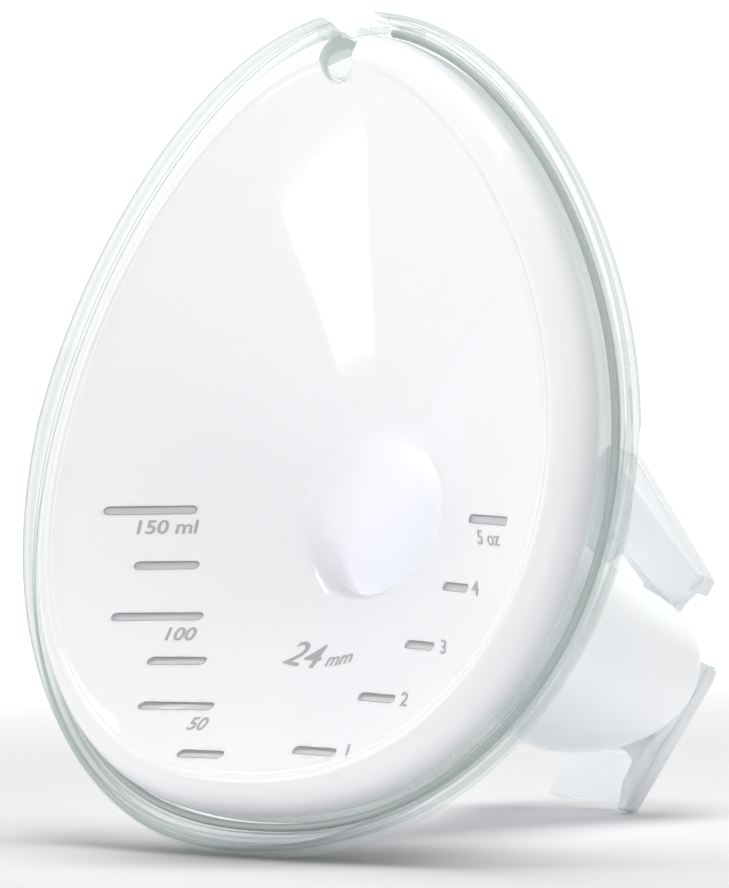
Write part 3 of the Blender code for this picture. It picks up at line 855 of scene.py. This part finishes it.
def along(y):
    """Height of the tunnel's axis."""
    return -TUNNEL_DROP * y


# y, centre z, half width, half height, power of the oval.
CHAMBER_OUTSIDE = [
    (26.0, along(26.0), 15.5, 15.5, 2.0), (33.0, along(33.0), 15.8, 15.7, 2.0), (40.0, -7.6, 17.6, 15.7, 2.0),
    (47.0, -9.9, 20.7, 15.5, 2.0), (53.0, -11.5, 23.0, 15.3, 2.0), (57.0, -12.2, 24.0, 15.1, 2.02),
    (59.5, CHAMBER_Z, 23.9, 14.8, 2.04), (61.4, CHAMBER_Z, 22.9, 14.0, 2.06), (62.8, CHAMBER_Z, 21.0, 12.6, 2.1),
    (63.6, CHAMBER_Z, 18.2, 11.2, 2.1), (63.7, CHAMBER_Z, 15.2, 10.3, 2.05), (63.5, CHAMBER_Z, 12.6, 9.6, 2.0),
    (63.0, CHAMBER_Z, 12.3, 9.3, 2.0), (62.2, CHAMBER_Z, 12.3, 9.3, 2.0),
]
# y, centre z, half width, half height.
CHAMBER_INSIDE = [
    (62.2, CHAMBER_Z, 18.2, 10.9), (60.5, CHAMBER_Z, 21.4, 12.6), (55.0, -11.7, 21.5, 13.5),
    (45.5, -9.5, 18.0, 13.6), (40.0, -7.6, 14.8, 13.4), (38.0, along(38.0), 13.9, 13.9),
    (26.0, along(26.0), 13.9, 13.9),
]
# Frame outline, x, z: right half from the peak down, the right foot, and the left end of the bottom.
UPPER = [
    (0.8, 25.6), (19.8, 3.9), (18.4, 1.2), (16.8, 2.4), (14.9, 0.7), (13.4, -1.6), (12.9, -4.0), (13.6, -6.8),
    (15.6, -9.0), (18.3, -9.8), (22.7, -11.1), (21.9, -13.6),
]
RIGHT_FOOT = [(10.3, -35.6), (8.1, -35.6), (8.1, -31.0), (9.6, -27.2), (7.4, -25.3)]
LEFT_BOTTOM = [(-7.4, -25.3), (-15.9, -25.0)]
FRAME_WINDOW = [(-5.4, -0.2), (5.4, -0.2), (6.8, 2.9), (0.0, 9.1), (-6.8, 2.9)]
# Level z, outer edge x, its depth, and where the wall starts on the chamber (x, y).
BLADE = [
    (-10.5, 22.2, 0.35, 22.6, 59.6), (-12.2, 21.3, 0.4, 23.3, 58.0), (-14.4, 20.1, 0.45, 23.4, 57.0),
    (-17.0, 18.8, 0.5, 22.4, 58.0), (-19.7, 17.4, 0.7, 20.6, 59.6), (-22.5, 16.0, 1.1, 17.6, 61.2),
    (-25.2, 14.9, 2.0, 13.9, 62.3), (-27.3, 13.9, 3.4, 12.5, 62.5), (-29.3, 13.0, 4.4, 11.8, 62.0),
    (-32.0, 11.8, 4.2, 10.7, 62.3), (-34.3, 10.75, 3.8, 9.9, 62.8), (-35.5, 10.3, 3.6, 9.5, 63.0),
]
WALL_BACK = 66.6  # rear of the arm walls and of the blade's inner side
BLADE_BACK = 66.65
ROOF_OUT = (0.752, 0.659)  # outward direction x, z of the roof's slope
BOSSES = ((12.3, -0.9), (13.9, -1.3))
# Left x, right x, y, z of the outlet's edges.
OUTLET = (
    (-2.6, 5.2, 61.6, -26.3), (-5.6, 7.4, 66.8, -26.0), (-5.6, 7.4, 70.3, -26.2), (-7.7, 7.7, 65.2, -33.4),
    (-7.7, 7.7, 70.3, -33.4),
)
OUTLET_HOLE = [(-5.4, -28.0), (5.4, -28.0), (5.4, -36.0), (-5.4, -36.0)]


def chamber_piece():
    rings = [oval(*sizes, power=power) for *sizes, power in smooth_open(CHAMBER_OUTSIDE, 4)]
    rings += [oval(*row) for row in CHAMBER_INSIDE]
    return loft("rear_chamber", rings, closed=True)


def frame_piece():
    """The rear plate, with an oval hole round the diaphragm and a window above it."""
    outline = UPPER + RIGHT_FOOT + LEFT_BOTTOM + [(-x, z) for x, z in reversed(UPPER)]
    plate = prism("rear_frame", rounded(outline), FRAME_FRONT, FRAME_BACK)
    cut(plate, loft("cut", [oval(y, CHAMBER_Z, 13.0, 10.0) for y in (60.0, 75.0)]))
    cut(plate, prism("cut", rounded(FRAME_WINDOW, 0.5), 60.0, 75.0))
    return plate


def roof_piece(side):
    """The deep outer wall of the upper arm: a bar along the roof edge that gets shallower towards its end."""
    rings = []
    for share in np.linspace(0, 1, 24):
        x, z = 0.3 + 18.9 * share, 25.6 + (4.3 - 25.6) * share
        depth = 8.6 - 1.2 * share - 3.3 * share**3
        front = FRAME_BACK - depth
        inside = 9.8 - 1.9 * share
        # Distance outward from the roof edge, y.
        section = [
            (0.0, WALL_BACK), (0.0, front + 0.5), (-0.35, front + 0.1), (-0.9, front),
            (-inside + 0.6, 67.3 - depth * 0.96), (-inside, 68.0 - depth * 0.9), (-inside, WALL_BACK),
        ]
        rings.append(np.array([
            (side * max(x + out * ROOF_OUT[0], 0.05), y, z + out * ROOF_OUT[1]) for out, y in section
        ]))
    return loft("arm_wall_" + ("right" if side > 0 else "left"), rings)


def blade_piece():
    """The lower blade: a wall from the chamber's right side, narrow at the back, that swells into the leg."""
    rings = []
    for z, outer, depth, start, back in smooth_open(BLADE, 4):
        rim = BLADE_BACK - depth
        back = min(back, rim - 0.02)
        inner = min(start - 1.6, outer - 1.9)
        section = [
            (outer, BLADE_BACK), (outer, rim),
            (outer - 0.12 * (outer - start), rim - 0.12 * (rim - back)),
            (0.5 * (outer + start), 0.5 * (rim + back)), (start, back), (start - 0.7, back + 0.1),
            (inner, back + 1.4), (inner, WALL_BACK),
        ]
        rings.append(np.array([(x, y, z) for x, y in section]))
    return loft("lower_blade", rings)


def boss_piece(name, x, z):
    """A small round boss that points forward."""
    rings = [oval(y, z, *halves, 24) for y, *halves in ((61.6, 0.5, 0.95), (60.4, 0.48, 0.9), (60.15, 0.32, 0.7))]
    for ring in rings:
        ring[:, 0] += x
    return loft(name, rings)


def outlet_piece():
    """A tapered foot with a square hole open at the bottom."""
    work = bmesh.new()
    for left, right, y, z in OUTLET:
        work.verts.new((left, y, z))
        work.verts.new((right, y, z))
    bmesh.ops.convex_hull(work, input=work.verts)
    mesh = bpy.data.meshes.new("outlet_foot")
    work.to_mesh(mesh)
    work.free()
    obj = new_object("outlet_foot", mesh)
    cut(obj, prism("cut", OUTLET_HOLE, 66.2, 69.4))
    return obj


seat(chamber_piece(), FROSTED_CHAMBER_PAINTED_LIGHT, "milk_chamber", angle=60)
seat(frame_piece(), FROSTED, "clip_frame", bevel=0.3, angle=40)
for side in (1, -1):
    seat(roof_piece(side), FROSTED, bevel=0.2)
seat(blade_piece(), FROSTED, angle=30, bevel=0.12)
for i, (x, z) in enumerate(BOSSES):
    seat(boss_piece(f"pillar_boss_{i + 1}", x, z), FROSTED, angle=50)
seat(outlet_piece(), FROSTED_FOOT_PAINTED_LIGHT, "milk_outlet", bevel=0.4, angle=40)

# ---------------------------------------------------------------- diaphragm, valve and seals

DISC_HALF_X, DISC_HALF_Z = 10.7, 7.9
# Share of the disc's size, y.
DISC = (
    (0.02, 66.9), (0.3, 66.85), (0.55, 66.6), (0.75, 66.2), (0.9, 65.75), (0.985, 65.35), (1.0, 65.0),
    (0.985, 64.7), (0.9, 64.95), (0.75, 65.4), (0.55, 65.75), (0.3, 65.95), (0.02, 66.0),
)


def disc_piece():
    rings = [oval(y, CHAMBER_Z, DISC_HALF_X * share, DISC_HALF_Z * share, 96) for share, y in DISC]
    return loft("diaphragm_disc", rings)


def bead_piece():
    """An oval ring round the disc."""
    rings = []
    for i in range(18):
        angle = 2 * pi * i / 18
        half_x, half_z = 11.95 + 0.6 * cos(angle), 9.0 + 0.55 * cos(angle)
        rings.append(oval(65.2 + 1.12 * sin(angle), CHAMBER_Z, half_x, half_z))
    return loft("diaphragm_bead", rings, closed=True)


seat(disc_piece(), SILICONE, "membrane", body="diaphragm", angle=60)
seat(bead_piece(), SILICONE, "membrane_bead", angle=60)

# CAD nodes that keep their own shape get their finish.
for node, finish in (
    ("valve_body", SILICONE), ("valve_lip_front", SILICONE), ("valve_lip_rear", SILICONE), ("tunnel_seal", SEAL)
):
    NODES[node].data.materials.clear()
    NODES[node].data.materials.append(finish)

# ---------------------------------------------------------------- stage

# Painted contact shadow on the floor, soft, where the ring meets it.
PAINTED_SHADOW_PLACE = (0.007, -0.046, 0.0)
PAINTED_SHADOW_TURN = radians(36.0)
PAINTED_SHADOW_HALF = (0.052, 0.031, 1.0)
PAINTED_SHADOW_DEPTH = 0.52
FLOOR_FADE = (0.13, 0.42)  # distances over which the floor turns white
FLOOR_HALF = 40
AMBIENT = 0.36  # strength of the world for diffuse light
BACKDROP = 1.15  # strength of the world as the camera sees it
# Dark panels at the right and left and a bright one overhead: direction, cosines where it fades in, depth.
PANELS = (
    ((0.86, 0.50, 0.05), (0.72, 0.96), 0.45), ((-0.93, -0.30, 0.10), (0.86, 0.98), 0.40),
    ((0.25, 0.2, 0.94), (0.90, 0.99), -0.4),
)


def floor_material():
    """Pale floor with a soft painted shadow near the object; further out it fades into the white background."""
    material, tree, shader, out = new_material("pale_floor")
    slow = noise(tree, scale=6.0, detail=2.0)
    pale = mix_colour(tree, slow, (0.925, 0.92, 0.93), (0.94, 0.935, 0.945))
    # The painted shadow: the base colour turns dark inside an oval spot under the ring.
    spot = add(tree, "TexCoord", "Object")
    frame = {"Location": PAINTED_SHADOW_PLACE, "Rotation": (0, 0, PAINTED_SHADOW_TURN), "Scale": PAINTED_SHADOW_HALF, "Vector": spot}
    under = add(tree, "Mapping", "Vector", frame, vector_type="TEXTURE")
    reach = add(tree, "VectorMath", "Value", {0: under}, operation="LENGTH")
    deep = remap(tree, reach, target=(PAINTED_SHADOW_DEPTH, 0.0), interpolation="SMOOTHERSTEP")
    feed(shader, {
        "Base Color": mix_colour(tree, deep, pale, (0.10, 0.098, 0.102)),
        "Roughness": 0.9,
        "Specular IOR Level": 0.1,
    })
    ends = {0: add(tree, "TexCoord", "Object"), 1: (0.01, 0.03, 0.0)}
    far = add(tree, "VectorMath", "Value", ends, operation="DISTANCE")
    fade = remap(tree, far, source=FLOOR_FADE, interpolation="SMOOTHSTEP")
    white = add(tree, "Emission", "Emission", {"Strength": 1.1})
    feed(out, {"Surface": mix_shader(tree, fade, shader.outputs["BSDF"], white)})
    return material


def glow_material(name, strength):
    material, tree, _, _ = new_material(name)
    tree.nodes.clear()
    light = add(tree, "Emission", "Emission", {"Strength": strength})
    feed(tree.nodes.new("ShaderNodeOutputMaterial"), {"Surface": light})
    return material


def plane(name, points, material):
    mesh = bpy.data.meshes.new(name)
    mesh.from_pydata(points, [], [tuple(range(len(points)))])
    obj = new_object(name, mesh)
    obj.data.materials.append(material)
    return obj


def studio_world():
    """White all round, with soft panels that draw the edges of the clear plastic."""
    world = bpy.data.worlds.new("studio")
    bpy.context.scene.world = world
    world.use_nodes = True
    tree = world.node_tree
    tree.nodes.clear()
    place = add(tree, "TexCoord", "Generated")
    total = None
    for direction, cosines, depth in PANELS:
        ends = {0: place, 1: Vector(direction).normalized()}
        dot = add(tree, "VectorMath", "Value", ends, operation="DOT_PRODUCT")
        panel = remap(tree, dot, source=cosines, target=(0.0, depth), interpolation="SMOOTHSTEP")
        total = calculate(tree, "ADD", total, panel) if total else panel
    less = calculate(tree, "SUBTRACT", 1.0, total)
    path = tree.nodes.new("ShaderNodeLightPath")
    dull = add(tree, "Mix", "Result", {"Factor": path.outputs["Is Diffuse Ray"], "A": less, "B": AMBIENT})
    pick = add(tree, "Mix", "Result", {"Factor": path.outputs["Is Camera Ray"], "A": dull, "B": BACKDROP})
    back = add(tree, "Background", "Background", {"Strength": pick, "Color": (1, 1, 1)})
    feed(tree.nodes.new("ShaderNodeOutputWorld"), {"Surface": back})
    world.cycles.sampling_method = "NONE"


def softbox(name, location, target, size, energy):
    data = bpy.data.lights.new(name, "AREA")
    data.shape, data.size, data.energy = "SQUARE", size, energy
    obj = new_object(name, data)
    obj.location = location
    obj.rotation_mode = "QUATERNION"
    obj.rotation_quaternion = (Vector(target) - Vector(location)).to_track_quat("-Z", "Y")
    obj.visible_camera = False
    return obj


floor_corners = [(x * FLOOR_HALF, y * FLOOR_HALF, 0) for x, y in ((-1, -1), (1, -1), (1, 1), (-1, 1))]
plane("floor", floor_corners, floor_material())

# A bright strip low in front, which the upper dish mirrors as one soft wedge.
strip = plane(
    "light_strip",
    [(-0.092, -0.301, 0.022), (-0.217, -0.212, 0.041), (-0.191, -0.238, 0.0084), (-0.112, -0.2885, 0.0016)],
    glow_material("strip_glow", strength=4.5),
)
strip.visible_camera = False
strip.visible_shadow = False
strip.visible_diffuse = False
strip.visible_transmission = False

studio_world()

softbox("key", location=(0.0, 0.09, 0.85), target=(0, 0, 0.0), size=0.52, energy=4.5)
# The two fills light the object but not the floor, so that its shadow stays deep under the dish.
lit = bpy.data.collections.new("lit_by_fill")
for obj in bpy.context.scene.objects:
    if obj.type == "MESH" and obj.name not in ("floor", "light_strip"):
        lit.objects.link(obj)
for fill in (
    softbox("front", location=(-0.50, -1.05, 0.24), target=(0, 0, 0.06), size=0.7, energy=3.5),
    softbox("side", location=(0.70, -0.75, 0.10), target=(0.02, 0.03, 0.04), size=0.5, energy=0.7),
):
    fill.light_linking.receiver_collection = lit

# ---------------------------------------------------------------- camera

# In the shield's axes: the view's right, the direction back to the camera, and the camera's place.
VIEW_RIGHT = Vector((0.77484, 0.61464, 0.14775))
VIEW_BACK = Vector((0.63215, -0.75337, -0.18115))
CAMERA_PLACE = Vector((528.08, -634.6, -140.97))

turn = Matrix.Rotation(-LEAN, 3, "X")
data = bpy.data.cameras.new("camera")
data.sensor_width, data.lens = 36.0, 212.83784
data.clip_start, data.clip_end = 0.01, 100
camera = new_object("camera", data)
z_axis = (turn @ VIEW_BACK).normalized()
x_axis = turn @ VIEW_RIGHT
x_axis = (x_axis - z_axis * x_axis.dot(z_axis)).normalized()
y_axis = z_axis.cross(x_axis)
pose = Matrix((x_axis, y_axis, z_axis)).transposed().to_4x4()
pose.translation = PLACE @ CAMERA_PLACE
camera.matrix_world = pose
bpy.context.scene.camera = camera
bpy.context.scene.view_settings.view_transform = "Standard"
bpy.context.scene.cycles.transparent_max_bounces = 32
